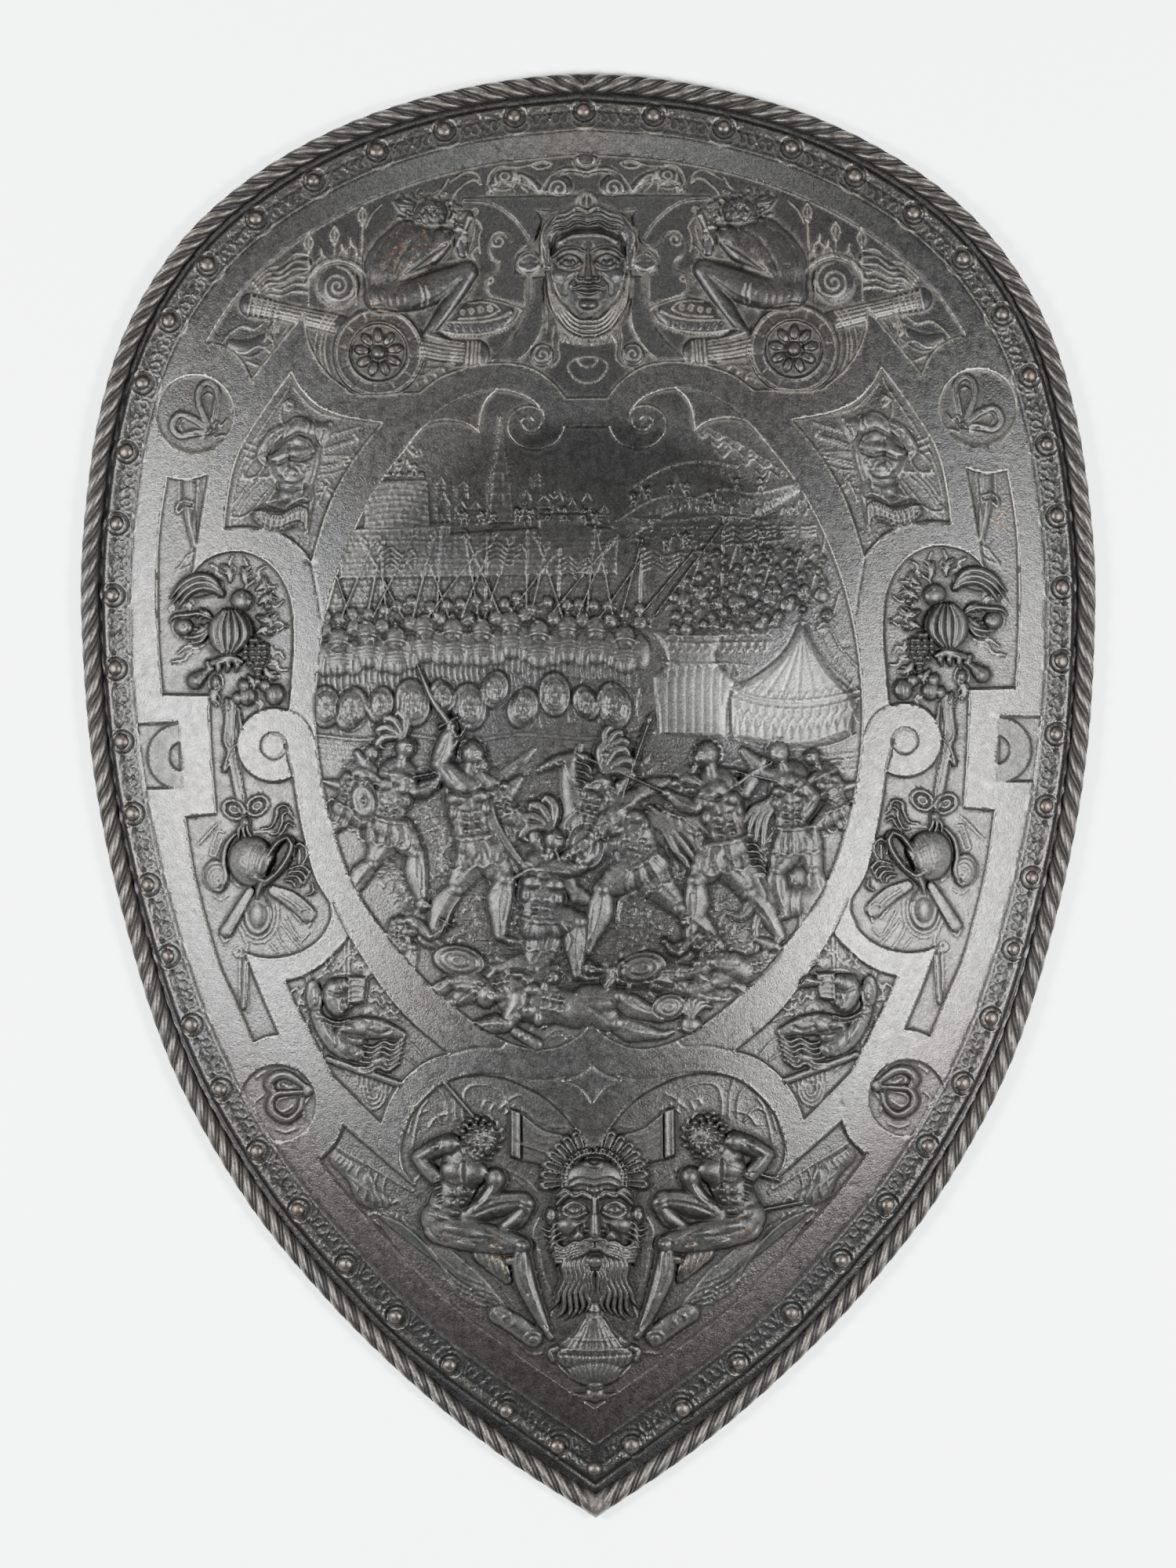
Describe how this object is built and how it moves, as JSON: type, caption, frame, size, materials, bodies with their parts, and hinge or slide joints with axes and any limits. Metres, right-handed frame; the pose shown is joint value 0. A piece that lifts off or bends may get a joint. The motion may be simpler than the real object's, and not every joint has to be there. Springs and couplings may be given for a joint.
{
  "type": "parade shield",
  "caption": "Embossed iron parade shield of pointed oval outline, with strapwork, masks, trophies and a battle scene, a roped rim and domed rivets.",
  "frame": {"origin": "centre of the bounding box's underside, on the surface that the shield lies on", "axes": "+X to the right as the face is seen, +Y towards the rounded top, +Z out of the face"},
  "size_m": [0.45, 0.64, 0.0626],
  "materials": {
    "blackened_iron": "dark satin patina",
    "rivet_iron": "worn satin"
  },
  "bodies": {
    "root": {"Plate": "blackened_iron", "Rivet_Top": "rivet_iron", "Rivet_Left_01": "rivet_iron", "Rivet_Left_02": "rivet_iron", "Rivet_Left_03": "rivet_iron", "Rivet_Left_04": "rivet_iron", "Rivet_Left_05": "rivet_iron", "Rivet_Left_06": "rivet_iron", "Rivet_Left_07": "rivet_iron", "Rivet_Left_08": "rivet_iron", "Rivet_Left_09": "rivet_iron", "Rivet_Left_10": "rivet_iron", "Rivet_Left_11": "rivet_iron", "Rivet_Left_12": "rivet_iron", "Rivet_Left_13": "rivet_iron", "Rivet_Left_14": "rivet_iron", "Rivet_Left_15": "rivet_iron", "Rivet_Left_16": "rivet_iron", "Rivet_Left_17": "rivet_iron", "Rivet_Left_18": "rivet_iron", "Rivet_Left_19": "rivet_iron", "Rivet_Left_20": "rivet_iron", "Rivet_Left_21": "rivet_iron", "Rivet_Left_22": "rivet_iron", "Rivet_Left_23": "rivet_iron", "Rivet_Left_24": "rivet_iron", "Rivet_Left_25": "rivet_iron", "Rivet_Right_01": "rivet_iron", "Rivet_Right_02": "rivet_iron", "Rivet_Right_03": "rivet_iron", "Rivet_Right_04": "rivet_iron", "Rivet_Right_05": "rivet_iron", "Rivet_Right_06": "rivet_iron", "Rivet_Right_07": "rivet_iron", "Rivet_Right_08": "rivet_iron", "Rivet_Right_09": "rivet_iron", "Rivet_Right_10": "rivet_iron", "Rivet_Right_11": "rivet_iron", "Rivet_Right_12": "rivet_iron", "Rivet_Right_13": "rivet_iron", "Rivet_Right_14": "rivet_iron", "Rivet_Right_15": "rivet_iron", "Rivet_Right_16": "rivet_iron", "Rivet_Right_17": "rivet_iron", "Rivet_Right_18": "rivet_iron", "Rivet_Right_19": "rivet_iron", "Rivet_Right_20": "rivet_iron", "Rivet_Right_21": "rivet_iron", "Rivet_Right_22": "rivet_iron", "Rivet_Right_23": "rivet_iron", "Rivet_Right_24": "rivet_iron", "Rivet_Right_25": "rivet_iron", "Rivet_Point": "rivet_iron"}
  },
  "joints": []
}
